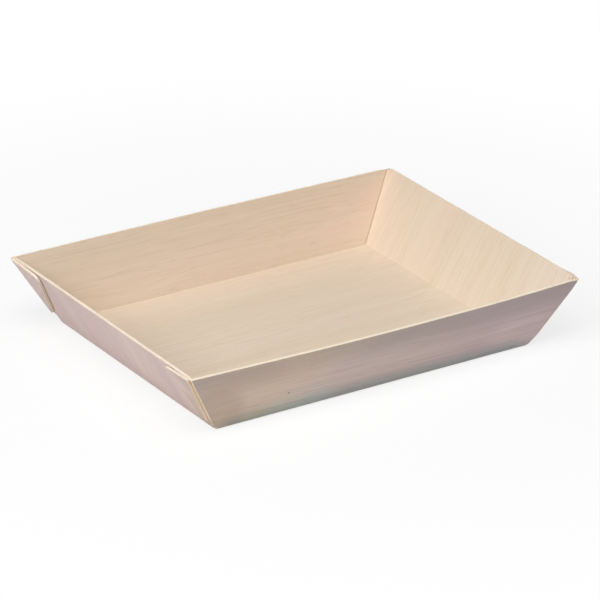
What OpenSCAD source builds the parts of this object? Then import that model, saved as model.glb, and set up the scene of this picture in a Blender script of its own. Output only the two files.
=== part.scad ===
// Shallow serving tray folded from one die-cut blank of thin wood.
// The blank has three layers: a wood veneer on each face and a paper core between them. Both veneers are
// cut along every fold and the paper carries the folds. Four corner flaps fold round from the long walls
// and are glued to the outside of the end walls. +X is the long axis, +Z is up, the table is at zero.

/* [Tray] */
// Length of the floor between the end folds
floor_l = 151; // [120:0.5:220]
// Width of the floor between the long folds
floor_w = 118; // [90:0.5:160]
// Height from the table to the rim
tray_h = 30.5; // [22:0.5:42]
// Lean of the long walls from upright, in degrees
side_flare = 18.4; // [10:0.1:30]
// Lean of the end walls from upright, in degrees
end_flare = 30.5; // [15:0.1:40]

/* [Sheet] */
// Thickness of each wood veneer
veneer = 0.5; // [0.3:0.05:0.8]
// Thickness of the paper core
paper = 0.2; // [0.1:0.05:0.4]
// Gap between the cut sides of an end wall and the long walls
butt_gap = 0.1; // [0.05:0.05:0.4]

/* [Corner flaps] */
// Length of a flap's top edge, from the corner fold
flap_top = 20; // [12:0.5:34]
// Fall of the top edge from the corner fold to its free corner
flap_fall = 1.6; // [0:0.1:4]
// Length of a flap's foot edge, from the corner fold
flap_foot = 2.5; // [2:0.25:4]
// Rise of the foot edge from the corner fold to the free tip
flap_foot_rise = 0.8; // [0.4:0.1:2]
// Radius of the free corner of the top edge
flap_corner_r = 3; // [1:0.25:5]
// Radius of the free tip at the foot
flap_tip_r = 2; // [0.5:0.25:3]
// Height above the floor at which a corner fold starts
fold_foot = 4.9; // [3:0.1:7]

/* [Glue] */
// Thickness of the glue film behind a flap
glue_film = 0.1; // [0.05:0.05:0.25]
// Bare margin round the glue film
glue_margin = 1.6; // [1:0.1:2.4]

/* [Hidden] */

liner_tone = "wheat";
veneer_tone = "burlywood";
paper_tone = "peru";
glue_tone = "ivory";

// Depths into the sheet, measured outwards from the face inside the tray
liner_depths = [0, veneer];
paper_depths = [veneer, veneer + paper];
sheet = veneer + paper + veneer;
veneer_depths = [veneer + paper, sheet];
paper_middle = sheet / 2;

// Walls, measured up the slope from the fold at the floor
wall_h = tray_h - sheet;
side_slant = wall_h / cos(side_flare);
end_slant = wall_h / cos(end_flare);

// Angle that each fold turns through
side_turn = 90 - side_flare;
end_turn = 90 - end_flare;
corner_turn = acos(sin(side_flare) * sin(end_flare));

// Corner fold: the line where a long wall's inner face meets the inner face of its flap
flap_depth = sheet + glue_film;
side_fold_rate = cos(side_flare) * tan(end_flare);
side_fold_start = floor_l / 2 + flap_depth / cos(end_flare);
end_fold_rate = cos(end_flare) * tan(side_flare);
end_fold_start = floor_w / 2 - flap_depth * sin(end_flare) * tan(side_flare);
side_foot = fold_foot / cos(side_flare);
end_foot = (fold_foot + flap_depth * sin(end_flare)) / cos(end_flare);
flap_slant = end_slant + flap_depth * tan(end_flare);

// One overrun serves all cuts, and the reach passes the whole tray
overrun = 4 * sheet;
reach = floor_l + floor_w + tray_h;

// Straight pieces in a rounded corner
corner_steps = 8;

// Place of the corner fold along a long wall, at a height up its slope
function side_fold(y) = side_fold_start + y * side_fold_rate;

// Place of the corner fold along an end wall, at a height up its slope
function end_fold(y) = end_fold_start + y * end_fold_rate;

// Points of the arc that rounds the corner at p, between its neighbours a and b
function rounded(a, p, b, r) =
    let (
        to_a = (a - p) / norm(a - p),
        to_b = (b - p) / norm(b - p),
        half = acos(to_a * to_b) / 2,
        centre = p + (to_a + to_b) / norm(to_a + to_b) * r / sin(half),
        from = p + to_a * r / tan(half) - centre,
        to = p + to_b * r / tan(half) - centre,
        sweep = 180 - 2 * half
    )
    [for (i = [0 : corner_steps])
        let (share = i / corner_steps)
        centre + (from * sin((1 - share) * sweep) + to * sin(share * sweep)) / sin(sweep)];

// Point on a flap, by its distance from the corner fold and its height up the slope
function on_flap(away, y) = [end_fold(y) - away, y];

flap_corner = on_flap(flap_top, flap_slant - flap_fall);
flap_tip = on_flap(flap_foot, end_foot + flap_foot_rise);
flap_free_edge = concat(
    rounded(on_flap(0, flap_slant), flap_corner, flap_tip, flap_corner_r),
    rounded(flap_corner, flap_tip, on_flap(0, end_foot), flap_tip_r)
);
flap_outline = concat([on_flap(0, flap_slant)], flap_free_edge, [on_flap(0, end_foot)]);

// The same outline with both edges carried straight on past the corner fold, to be cut to length there
flap_long_outline = concat(
    [on_flap(-overrun, flap_slant + overrun * flap_fall / flap_top)],
    flap_free_edge,
    [on_flap(-overrun, end_foot - overrun * flap_foot_rise / flap_foot)]
);

// Long wall: its lower corners are cut back from the floor's corner to the foot of the corner fold
side_outline = [
    [-floor_l / 2, 0],
    [floor_l / 2, 0],
    [side_fold(side_foot), side_foot],
    [side_fold(side_slant), side_slant],
    [-side_fold(side_slant), side_slant],
    [-side_fold(side_foot), side_foot]
];

// Place of the cut-back corner along a long wall, at a height up its slope
function relief(y) = floor_l / 2 + y * (side_fold(side_foot) - floor_l / 2) / side_foot;

// The same outline carried straight on past its three folds, to be cut to length there
side_long_outline = [
    [-relief(-overrun), -overrun],
    [relief(-overrun), -overrun],
    [relief(side_foot + overrun), side_foot + overrun],
    [side_fold(side_slant) + overrun, side_slant],
    [-side_fold(side_slant) - overrun, side_slant],
    [-relief(side_foot + overrun), side_foot + overrun]
];

// Half width of an end wall, at a height up its slope: its cut sides stand against the long walls
end_half_foot = floor_w / 2 - sheet * sin(end_flare) * tan(side_flare) - butt_gap;
function end_half(y) = end_half_foot + y * end_fold_rate;

// End wall between two heights up its slope
function end_outline(low, high) = [
    [-end_half(low), low],
    [end_half(low), low],
    [end_half(high), high],
    [-end_half(high), high]
];

// How far a layer runs on past a fold, at a depth into the sheet. The veneers inside the tray meet in a
// mitre. The paper runs on to the middle of the paper that it joins, so the two are one sheet.
mitre = function (turn, depth) depth * tan(turn / 2);
lap = function (turn, depth) (paper_middle - depth * cos(turn)) / sin(turn);

// Layer of the sheet: an outline raised between two depths
module layer(depths, outline) {
    translate([0, 0, depths[0]])
        linear_extrude(depths[1] - depths[0])
            polygon(outline);
}

// All that lies towards -x of a fold along y through the origin, with z as the depth into the sheet
module before_fold(turn, join) {
    low = -overrun;
    high = sheet + overrun;
    rotate([90, 0, 0])
        linear_extrude(2 * reach, center = true)
            polygon([
                [-reach, low],
                [join(turn, low), low],
                [join(turn, high), high],
                [-reach, high]
            ]);
}

// Keeps what its child and the child's mirror image share
module both_ways(axis) {
    intersection() {
        children();
        mirror(axis)
            children();
    }
}

// Floor, between its four folds
module floor_layer(depths, join) {
    translate([0, 0, sheet])
        mirror([0, 0, 1])
            intersection() {
                layer(depths, [
                    [-floor_l, -floor_w],
                    [floor_l, -floor_w],
                    [floor_l, floor_w],
                    [-floor_l, floor_w]
                ]);
                both_ways([1, 0, 0])
                    translate([floor_l / 2, 0, 0])
                        before_fold(end_turn, join);
                both_ways([0, 1, 0])
                    translate([0, floor_w / 2, 0])
                        rotate([0, 0, 90])
                            before_fold(side_turn, join);
            }
}

// Long wall, between the floor fold and both corner folds
module side_layer(depths, join) {
    intersection() {
        layer(depths, side_long_outline);
        rotate([0, 0, -90])
            before_fold(side_turn, join);
        both_ways([1, 0, 0])
            translate([side_fold_start, 0, 0])
                rotate([0, 0, -atan(side_fold_rate)])
                    before_fold(corner_turn, join);
    }
}

// End wall, above the floor fold
module end_layer(depths, join) {
    intersection() {
        layer(depths, end_outline(-overrun, end_slant));
        rotate([0, 0, -90])
            before_fold(end_turn, join);
    }
}

// Corner flap, from its corner fold
module flap_layer(depths, join) {
    translate([0, 0, flap_depth])
        intersection() {
            layer(depths, flap_long_outline);
            translate([end_fold_start, 0, 0])
                rotate([0, 0, -atan(end_fold_rate)])
                    before_fold(corner_turn, join);
        }
}

// Turns a flat wall up to its place: x along the floor fold, y up the slope, z outwards
module stand_front() {
    translate([0, -floor_w / 2, sheet])
        rotate([90 + side_flare, 0, 0])
            children();
}

module stand_back() {
    mirror([0, 1, 0])
        stand_front()
            children();
}

module stand_right() {
    translate([floor_l / 2, 0, sheet])
        rotate([90 + end_flare, 0, 90])
            children();
}

module stand_left() {
    mirror([1, 0, 0])
        stand_right()
            children();
}

// Turns a flat flap up to each corner
module stand_back_right() {
    stand_right()
        children();
}

module stand_front_right() {
    mirror([0, 1, 0])
        stand_right()
            children();
}

module stand_back_left() {
    stand_left()
        children();
}

module stand_front_left() {
    mirror([0, 1, 0])
        stand_left()
            children();
}

// Paper core: one sheet through the floor, the walls and the flaps
module hinge_core() {
    color(paper_tone) {
        floor_layer(paper_depths, lap);
        stand_front() side_layer(paper_depths, lap);
        stand_back() side_layer(paper_depths, lap);
        stand_left() end_layer(paper_depths, lap);
        stand_right() end_layer(paper_depths, lap);
        stand_front_left() flap_layer(paper_depths, lap);
        stand_front_right() flap_layer(paper_depths, lap);
        stand_back_left() flap_layer(paper_depths, lap);
        stand_back_right() flap_layer(paper_depths, lap);
    }
}

// Outer veneers: cut square along every fold, so the folds open as grooves on the outside
module side_veneer() {
    color(veneer_tone)
        layer(veneer_depths, side_outline);
}

module end_veneer() {
    color(veneer_tone)
        layer(veneer_depths, end_outline(0, end_slant));
}

module flap_veneer() {
    color(veneer_tone)
        translate([0, 0, flap_depth])
            layer(veneer_depths, flap_outline);
}

module base_veneer() {
    color(veneer_tone)
        linear_extrude(veneer)
            square([floor_l, floor_w], center = true);
}

module front_wall_veneer() { stand_front() side_veneer(); }
module back_wall_veneer() { stand_back() side_veneer(); }
module left_wall_veneer() { stand_left() end_veneer(); }
module right_wall_veneer() { stand_right() end_veneer(); }
module front_left_flap_veneer() { stand_front_left() flap_veneer(); }
module front_right_flap_veneer() { stand_front_right() flap_veneer(); }
module back_left_flap_veneer() { stand_back_left() flap_veneer(); }
module back_right_flap_veneer() { stand_back_right() flap_veneer(); }

// Inner veneers: pressed together along every fold
module side_liner() {
    color(liner_tone)
        side_layer(liner_depths, mitre);
}

module end_liner() {
    color(liner_tone)
        end_layer(liner_depths, mitre);
}

module flap_liner() {
    color(liner_tone)
        flap_layer(liner_depths, mitre);
}

module floor_liner() {
    color(liner_tone)
        floor_layer(liner_depths, mitre);
}

module front_wall_liner() { stand_front() side_liner(); }
module back_wall_liner() { stand_back() side_liner(); }
module left_wall_liner() { stand_left() end_liner(); }
module right_wall_liner() { stand_right() end_liner(); }
module front_left_flap_liner() { stand_front_left() flap_liner(); }
module front_right_flap_liner() { stand_front_right() flap_liner(); }
module back_left_flap_liner() { stand_back_left() flap_liner(); }
module back_right_flap_liner() { stand_back_right() flap_liner(); }

// Distance of a flap's free edge from the corner fold, at a height up the slope
function free_edge(y) = lookup(y, [[flap_tip.y, flap_foot], [flap_corner.y, flap_top]]);

// Glue film: between an end wall and a flap, with a bare margin inside the flap's edges. It starts where
// the flap is as wide as both margins and a strip of film as wide as one of them.
glue_start_w = 3 * glue_margin;
glue_foot = lookup(glue_start_w, [[flap_foot, flap_tip.y], [flap_top, flap_corner.y]]);
glue_slant = min(flap_corner.y, end_slant) - glue_margin;
glue_outline = [
    on_flap(glue_margin, glue_slant),
    on_flap(free_edge(glue_slant) - glue_margin, glue_slant),
    on_flap(free_edge(glue_foot) - glue_margin, glue_foot),
    on_flap(glue_margin, glue_foot)
];

module glue_layer() {
    color(glue_tone)
        layer([sheet, flap_depth], glue_outline);
}

module front_left_glue() { stand_front_left() glue_layer(); }
module front_right_glue() { stand_front_right() glue_layer(); }
module back_left_glue() { stand_back_left() glue_layer(); }
module back_right_glue() { stand_back_right() glue_layer(); }

hinge_core();
base_veneer();
front_wall_veneer();
back_wall_veneer();
left_wall_veneer();
right_wall_veneer();
front_left_flap_veneer();
front_right_flap_veneer();
back_left_flap_veneer();
back_right_flap_veneer();
floor_liner();
front_wall_liner();
back_wall_liner();
left_wall_liner();
right_wall_liner();
front_left_flap_liner();
front_right_flap_liner();
back_left_flap_liner();
back_right_flap_liner();
front_left_glue();
front_right_glue();
back_left_glue();
back_right_glue();
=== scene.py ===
"""Looks of a shallow serving tray folded from one blank of thin wood.

The blank is a wood veneer on each side of a paper core. Every panel is modelled flat, as it lies in the
blank, warped a little as thin wood warps, and then folded up to its place. Lengths are in millimetres until
a finished mesh is written, which is in metres. Angles are in radians, but in degrees for camera and lamps.
"""

import logging
import math
from dataclasses import dataclass, field, replace
from enum import Enum, IntEnum
from typing import Any, Optional, Sequence, Union

import bmesh
import bpy
from mathutils import Color, Matrix, Vector, geometry, noise


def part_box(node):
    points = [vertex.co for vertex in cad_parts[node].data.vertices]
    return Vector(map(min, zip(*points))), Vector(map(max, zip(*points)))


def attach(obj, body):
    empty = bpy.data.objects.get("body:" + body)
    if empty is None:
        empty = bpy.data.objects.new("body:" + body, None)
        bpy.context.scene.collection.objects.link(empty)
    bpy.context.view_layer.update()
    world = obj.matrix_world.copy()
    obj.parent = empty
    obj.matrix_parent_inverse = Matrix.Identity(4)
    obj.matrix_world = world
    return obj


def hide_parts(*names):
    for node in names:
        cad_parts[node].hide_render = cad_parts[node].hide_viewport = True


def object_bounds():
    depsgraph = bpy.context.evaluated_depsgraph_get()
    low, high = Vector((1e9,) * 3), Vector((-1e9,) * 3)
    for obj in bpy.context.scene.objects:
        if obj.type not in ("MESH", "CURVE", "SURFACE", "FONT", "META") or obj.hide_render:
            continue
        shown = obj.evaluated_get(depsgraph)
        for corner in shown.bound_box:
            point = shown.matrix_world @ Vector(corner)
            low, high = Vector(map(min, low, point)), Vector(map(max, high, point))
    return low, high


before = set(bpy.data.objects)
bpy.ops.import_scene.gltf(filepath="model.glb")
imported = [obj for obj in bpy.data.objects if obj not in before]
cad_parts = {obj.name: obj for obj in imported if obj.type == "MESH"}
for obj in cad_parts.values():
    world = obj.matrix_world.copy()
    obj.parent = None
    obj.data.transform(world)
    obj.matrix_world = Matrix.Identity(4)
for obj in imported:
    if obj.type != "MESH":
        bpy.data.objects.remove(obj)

Tone = tuple[float, float, float, float]
Place = tuple[float, float, float]
Span = tuple[float, float]
Number = Union["Wire", float]

CAD_BOX = [list(corner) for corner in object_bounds()]
LOG = logging.getLogger("tray")
BODY = "root"
BLANK_PLACE = "blank_place"
WHITE: Tone = (1.0, 1.0, 1.0, 1.0)
UPRIGHT = math.pi / 2
# One millimetre, in metres
MILLIMETRE = 0.001
# Points closer than this, in millimetres, count as one
SAME_PLACE = 0.001
# Edges that turn less than this are shaded smooth
SMOOTH_ANGLE = math.radians(25)
# The middle of the values that shader noise gives
NOISE_MIDDLE = 0.5
# The highest level of a colour as a picture stores it
FULL_LEVEL = 255


def srgb(*levels: int) -> Tone:
    """Turns red, green and blue as a picture stores them into the linear colour that shaders take."""
    stored = Color([level / FULL_LEVEL for level in levels])
    return (*stored.from_srgb_to_scene_linear(), 1.0)


class Layer(Enum):
    """The two wood layers of the sheet."""

    LINER = "liner"
    VENEER = "veneer"


class Wall(Enum):
    """The four walls, by the signs of the X and Y that they face."""

    FRONT = (0, -1)
    BACK = (0, 1)
    LEFT = (-1, 0)
    RIGHT = (1, 0)


class Corner(Enum):
    """The four corner flaps, by the signs of their X and Y."""

    FRONT_LEFT = (-1, -1)
    FRONT_RIGHT = (1, -1)
    BACK_LEFT = (-1, 1)
    BACK_RIGHT = (1, 1)


@dataclass(frozen=True)
class BlankSizes:
    """Sizes of the blank and of its folds."""

    floor_l: float
    floor_w: float
    tray_h: float
    veneer: float
    sheet: float
    side_flare: float = math.radians(18.4)
    end_flare: float = math.radians(30.5)
    flap_top: float = 20.0
    flap_fall: float = 1.6
    flap_foot: float = 2.5
    flap_foot_rise: float = 0.8
    flap_corner_r: float = 3.0
    flap_tip_r: float = 2.0
    fold_foot: float = 4.9
    glue_film: float = 0.1
    glue_margin: float = 1.6

    @classmethod
    def from_frame(cls) -> "BlankSizes":
        """Reads the floor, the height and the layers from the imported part.

        Returns:
            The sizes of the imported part.
        """
        low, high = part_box("base_veneer")
        base = (high - low) / MILLIMETRE
        tray_h = CAD_BOX[1][2] / MILLIMETRE
        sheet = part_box("floor_liner")[1].z / MILLIMETRE
        return cls(floor_l=base.x, floor_w=base.y, tray_h=tray_h, veneer=base.z, sheet=sheet)

    @property
    def wall_h(self) -> float:
        """Height of the walls above the floor's upper face."""
        return self.tray_h - self.sheet

    @property
    def side_slant(self) -> float:
        """Height of a long wall, measured up its slope."""
        return self.wall_h / math.cos(self.side_flare)

    @property
    def end_slant(self) -> float:
        """Height of an end wall, measured up its slope."""
        return self.wall_h / math.cos(self.end_flare)

    @property
    def side_turn(self) -> float:
        """Angle that the fold to a long wall turns through."""
        return UPRIGHT - self.side_flare

    @property
    def end_turn(self) -> float:
        """Angle that the fold to an end wall turns through."""
        return UPRIGHT - self.end_flare

    @property
    def corner_turn(self) -> float:
        """Angle that a corner fold turns through."""
        return math.acos(math.sin(self.side_flare) * math.sin(self.end_flare))

    @property
    def flap_depth(self) -> float:
        """Depth of a flap's inner face, behind the end wall and the glue."""
        return self.sheet + self.glue_film

    @property
    def side_fold_rate(self) -> float:
        """How fast a corner fold runs outwards, up a long wall."""
        return math.cos(self.side_flare) * math.tan(self.end_flare)

    @property
    def end_fold_rate(self) -> float:
        """How fast a corner fold runs outwards, up an end wall."""
        return math.cos(self.end_flare) * math.tan(self.side_flare)

    @property
    def side_foot(self) -> float:
        """Foot of a corner fold, up the slope of a long wall."""
        return self.fold_foot / math.cos(self.side_flare)

    @property
    def end_foot(self) -> float:
        """Foot of a corner fold, up the slope of an end wall."""
        return (self.fold_foot + self.flap_depth * math.sin(self.end_flare)) / math.cos(self.end_flare)

    @property
    def flap_slant(self) -> float:
        """Top of a corner fold, up the slope of an end wall."""
        return self.end_slant + self.flap_depth * math.tan(self.end_flare)

    @property
    def flap_tip_y(self) -> float:
        """Height of a flap's free tip, up the slope of its end wall."""
        return self.end_foot + self.flap_foot_rise

    @property
    def flap_corner_y(self) -> float:
        """Height of a flap's free corner, up the slope of its end wall."""
        return self.flap_slant - self.flap_fall

    def side_fold(self, y: float) -> float:
        """Place of a corner fold along a long wall, at a height up its slope."""
        return self.floor_l / 2 + self.flap_depth / math.cos(self.end_flare) + y * self.side_fold_rate

    def end_fold(self, y: float) -> float:
        """Place of a corner fold along an end wall, at a height up its slope."""
        start = self.floor_w / 2 - self.flap_depth * math.sin(self.end_flare) * math.tan(self.side_flare)
        return start + y * self.end_fold_rate

    def on_corner_fold(self, height: float) -> Vector:
        """Finds the paper in the corner fold where X and Y are positive.

        Args:
            height: A height in the tray.

        Returns:
            The middle of the paper there.
        """
        rise = height - self.sheet
        x = self.side_fold(rise / math.cos(self.side_flare)) + self.sheet / 2
        return Vector((x, self.floor_w / 2 + rise * math.tan(self.side_flare) + self.sheet / 2, height))

    def depths(self, layer: Layer) -> Span:
        """Depths of a layer into the sheet, from the face inside the tray."""
        return (0.0, self.veneer) if layer is Layer.LINER else (self.sheet - self.veneer, self.sheet)


class Mixing(Enum):
    """How one colour is laid over another."""

    COVER = "MIX"
    STAIN = "MULTIPLY"


class MixSocket(IntEnum):
    """Sockets of a Mix node for colours, whose names its other kinds share."""

    FACTOR = 0
    FIRST = 6
    SECOND = 7
    RESULT = 2


@dataclass(frozen=True)
class Speckle:
    """Noise with grains of one length along the wood and another across it.

    The detail is how many finer layers are added, and the harshness how strong each of them is.
    """

    along: float
    across: float
    detail: float = 2.0
    harshness: float = 0.5


class Wire:
    """An output socket of a shader, with the operators that shader maths uses."""

    def __init__(self, bench: "ShaderBench", socket: bpy.types.NodeSocket) -> None:
        """Keeps the socket and the bench that it lies on."""
        self.bench = bench
        self.socket = socket

    def sibling(self, name: str) -> "Wire":
        """Another output of the same node."""
        return Wire(self.bench, self.socket.node.outputs[name])

    def _math(self, operation: str, first: Number, second: Number) -> "Wire":
        """Adds one Math node, and gives its result."""
        return self.bench.node("ShaderNodeMath", {"operation": operation}, {0: first, 1: second})

    def __add__(self, other: Number) -> "Wire":
        """Sum."""
        return self._math("ADD", self, other)

    def __radd__(self, other: Number) -> "Wire":
        """Sum, from the right."""
        return self._math("ADD", other, self)

    def __sub__(self, other: Number) -> "Wire":
        """Difference."""
        return self._math("SUBTRACT", self, other)

    def __rsub__(self, other: Number) -> "Wire":
        """Difference, from the right."""
        return self._math("SUBTRACT", other, self)

    def __mul__(self, other: Number) -> "Wire":
        """Product."""
        return self._math("MULTIPLY", self, other)

    def __rmul__(self, other: Number) -> "Wire":
        """Product, from the right."""
        return self._math("MULTIPLY", other, self)

    def larger(self, other: Number) -> "Wire":
        """The larger of two values."""
        return self._math("MAXIMUM", self, other)

    def magnitude(self) -> "Wire":
        """The value without its sign."""
        return self._math("ABSOLUTE", self, 0.0)


class ShaderBench:
    """The node tree of one material or of the world, filled from empty."""

    def __init__(self, tree: bpy.types.NodeTree) -> None:
        """Clears the tree that is to be filled."""
        self.tree = tree
        tree.nodes.clear()

    def node(
        self,
        kind: str,
        settings: dict[str, Any],
        sockets: dict[Union[str, int], Any],
        output: Union[str, int, None] = 0,
    ) -> Optional[Wire]:
        """Adds one node.

        Args:
            kind: The node's type.
            settings: Its own settings, set before its sockets.
            sockets: Values or wires for its inputs, by name or number.
            output: The output to hand back, or None where the node has none.

        Returns:
            That output.
        """
        made = self.tree.nodes.new(kind)
        for name, value in settings.items():
            setattr(made, name, value)
        for key, value in sockets.items():
            if isinstance(value, Wire):
                self.tree.links.new(value.socket, made.inputs[key])
            else:
                made.inputs[key].default_value = value
        return None if output is None else Wire(self, made.outputs[output])

    def vector(self, operation: str, *places: Union[Wire, Place], output: Union[str, int] = 0) -> Wire:
        """Adds one Vector Math node for some vectors, and gives the output that is asked for."""
        return self.node("ShaderNodeVectorMath", {"operation": operation}, dict(enumerate(places)), output)

    def blank_place(self) -> Wire:
        """The place of a point in the flat blank."""
        named = {"attribute_type": "GEOMETRY", "attribute_name": BLANK_PLACE}
        return self.node("ShaderNodeAttribute", named, {}, "Vector")

    def tray_place(self) -> Wire:
        """The place of a point in the tray's frame."""
        in_metres = self.node("ShaderNodeTexCoord", {}, {}, "Object")
        return self.vector("MULTIPLY", in_metres, (1 / MILLIMETRE,) * 3)

    def unsigned(self, place: Wire) -> Wire:
        """A place moved to the quarter where X and Y are positive."""
        return self.vector("ABSOLUTE", place)

    def distance(self, first: Wire, second: Union[Wire, Place]) -> Wire:
        """Distance between two places."""
        return self.vector("DISTANCE", first, second, output="Value")

    def line_distance(self, place: Wire, start: Place, direction: Place) -> Wire:
        """Distance from a varying place to a fixed straight line.

        Args:
            place: The varying place.
            start: A point of the line.
            direction: The line's direction, of length 1.

        Returns:
            The distance.
        """
        offset = self.vector("SUBTRACT", place, start)
        run = self.vector("DOT_PRODUCT", offset, direction, output="Value")
        nearest = self.node("ShaderNodeVectorMath", {"operation": "SCALE"}, {0: direction, "Scale": run})
        return self.distance(offset, nearest)

    def speckle(self, place: Wire, pattern: Speckle) -> Wire:
        """Adds a noise pattern.

        Args:
            place: Where to read it.
            pattern: Its grains.

        Returns:
            Values around the middle of the noise.
        """
        rates = (1 / pattern.along, 1 / pattern.across, 1 / pattern.across)
        scaled = self.vector("MULTIPLY", place, rates)
        sockets = {"Vector": scaled, "Scale": 1.0, "Detail": pattern.detail, "Roughness": pattern.harshness}
        return self.node("ShaderNodeTexNoise", {"noise_dimensions": "3D"}, sockets)

    def ramp(self, value: Wire, low: float, high: float) -> Wire:
        """Rises smoothly from 0 at low to 1 at high, or falls where low is above high."""
        sockets = {"Value": value, "From Min": low, "From Max": high, "To Min": 0.0, "To Max": 1.0}
        return self.node("ShaderNodeMapRange", {"interpolation_type": "SMOOTHSTEP"}, sockets)

    def blend(self, factor: Number, first: Any, second: Any, mixing: Mixing = Mixing.COVER) -> Wire:
        """Mixes two colours.

        Args:
            factor: Share of the second colour.
            first: The colour at 0.
            second: The colour at 1, or what the first is multiplied by.
            mixing: How the second is laid over the first.

        Returns:
            The mixed colour.
        """
        settings = {"data_type": "RGBA", "blend_type": mixing.value}
        sockets = {MixSocket.FACTOR: factor, MixSocket.FIRST: first, MixSocket.SECOND: second}
        return self.node("ShaderNodeMix", settings, sockets, MixSocket.RESULT)

    def bump(self, height: Wire, depth: float, strength: float) -> Wire:
        """Tilts the normal by a relief, which is as deep as given where its height is 1."""
        sockets = {"Strength": strength, "Distance": depth * MILLIMETRE, "Height": height}
        return self.node("ShaderNodeBump", {}, sockets)

    def surface(self, fixed: dict[str, Any], varying: dict[str, Wire]) -> None:
        """Adds the Principled shader, with what is the same all over and what varies, and the output."""
        shader = self.node("ShaderNodeBsdfPrincipled", {}, {**fixed, **varying})
        self.node("ShaderNodeOutputMaterial", {}, {"Surface": shader}, None)


def new_material(name: str) -> tuple[bpy.types.Material, ShaderBench]:
    """Starts an empty node material.

    Args:
        name: The material's name.

    Returns:
        The material and a bench for its nodes.
    """
    material = bpy.data.materials.new(name)
    material.use_nodes = True
    return material, ShaderBench(material.node_tree)


@dataclass(frozen=True)
class Mark:
    """A pin knot, or a stretch of lighter or darker colour, at its place in the blank.

    It is drawn out along the grain by its stretch, and has its full strength in its core, a share of its
    radius.
    """

    x: float
    y: float
    radius: float
    tone: Tone
    core_share: float = 0.35
    strength: float = 1.0
    stretch: float = 1.0


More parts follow.
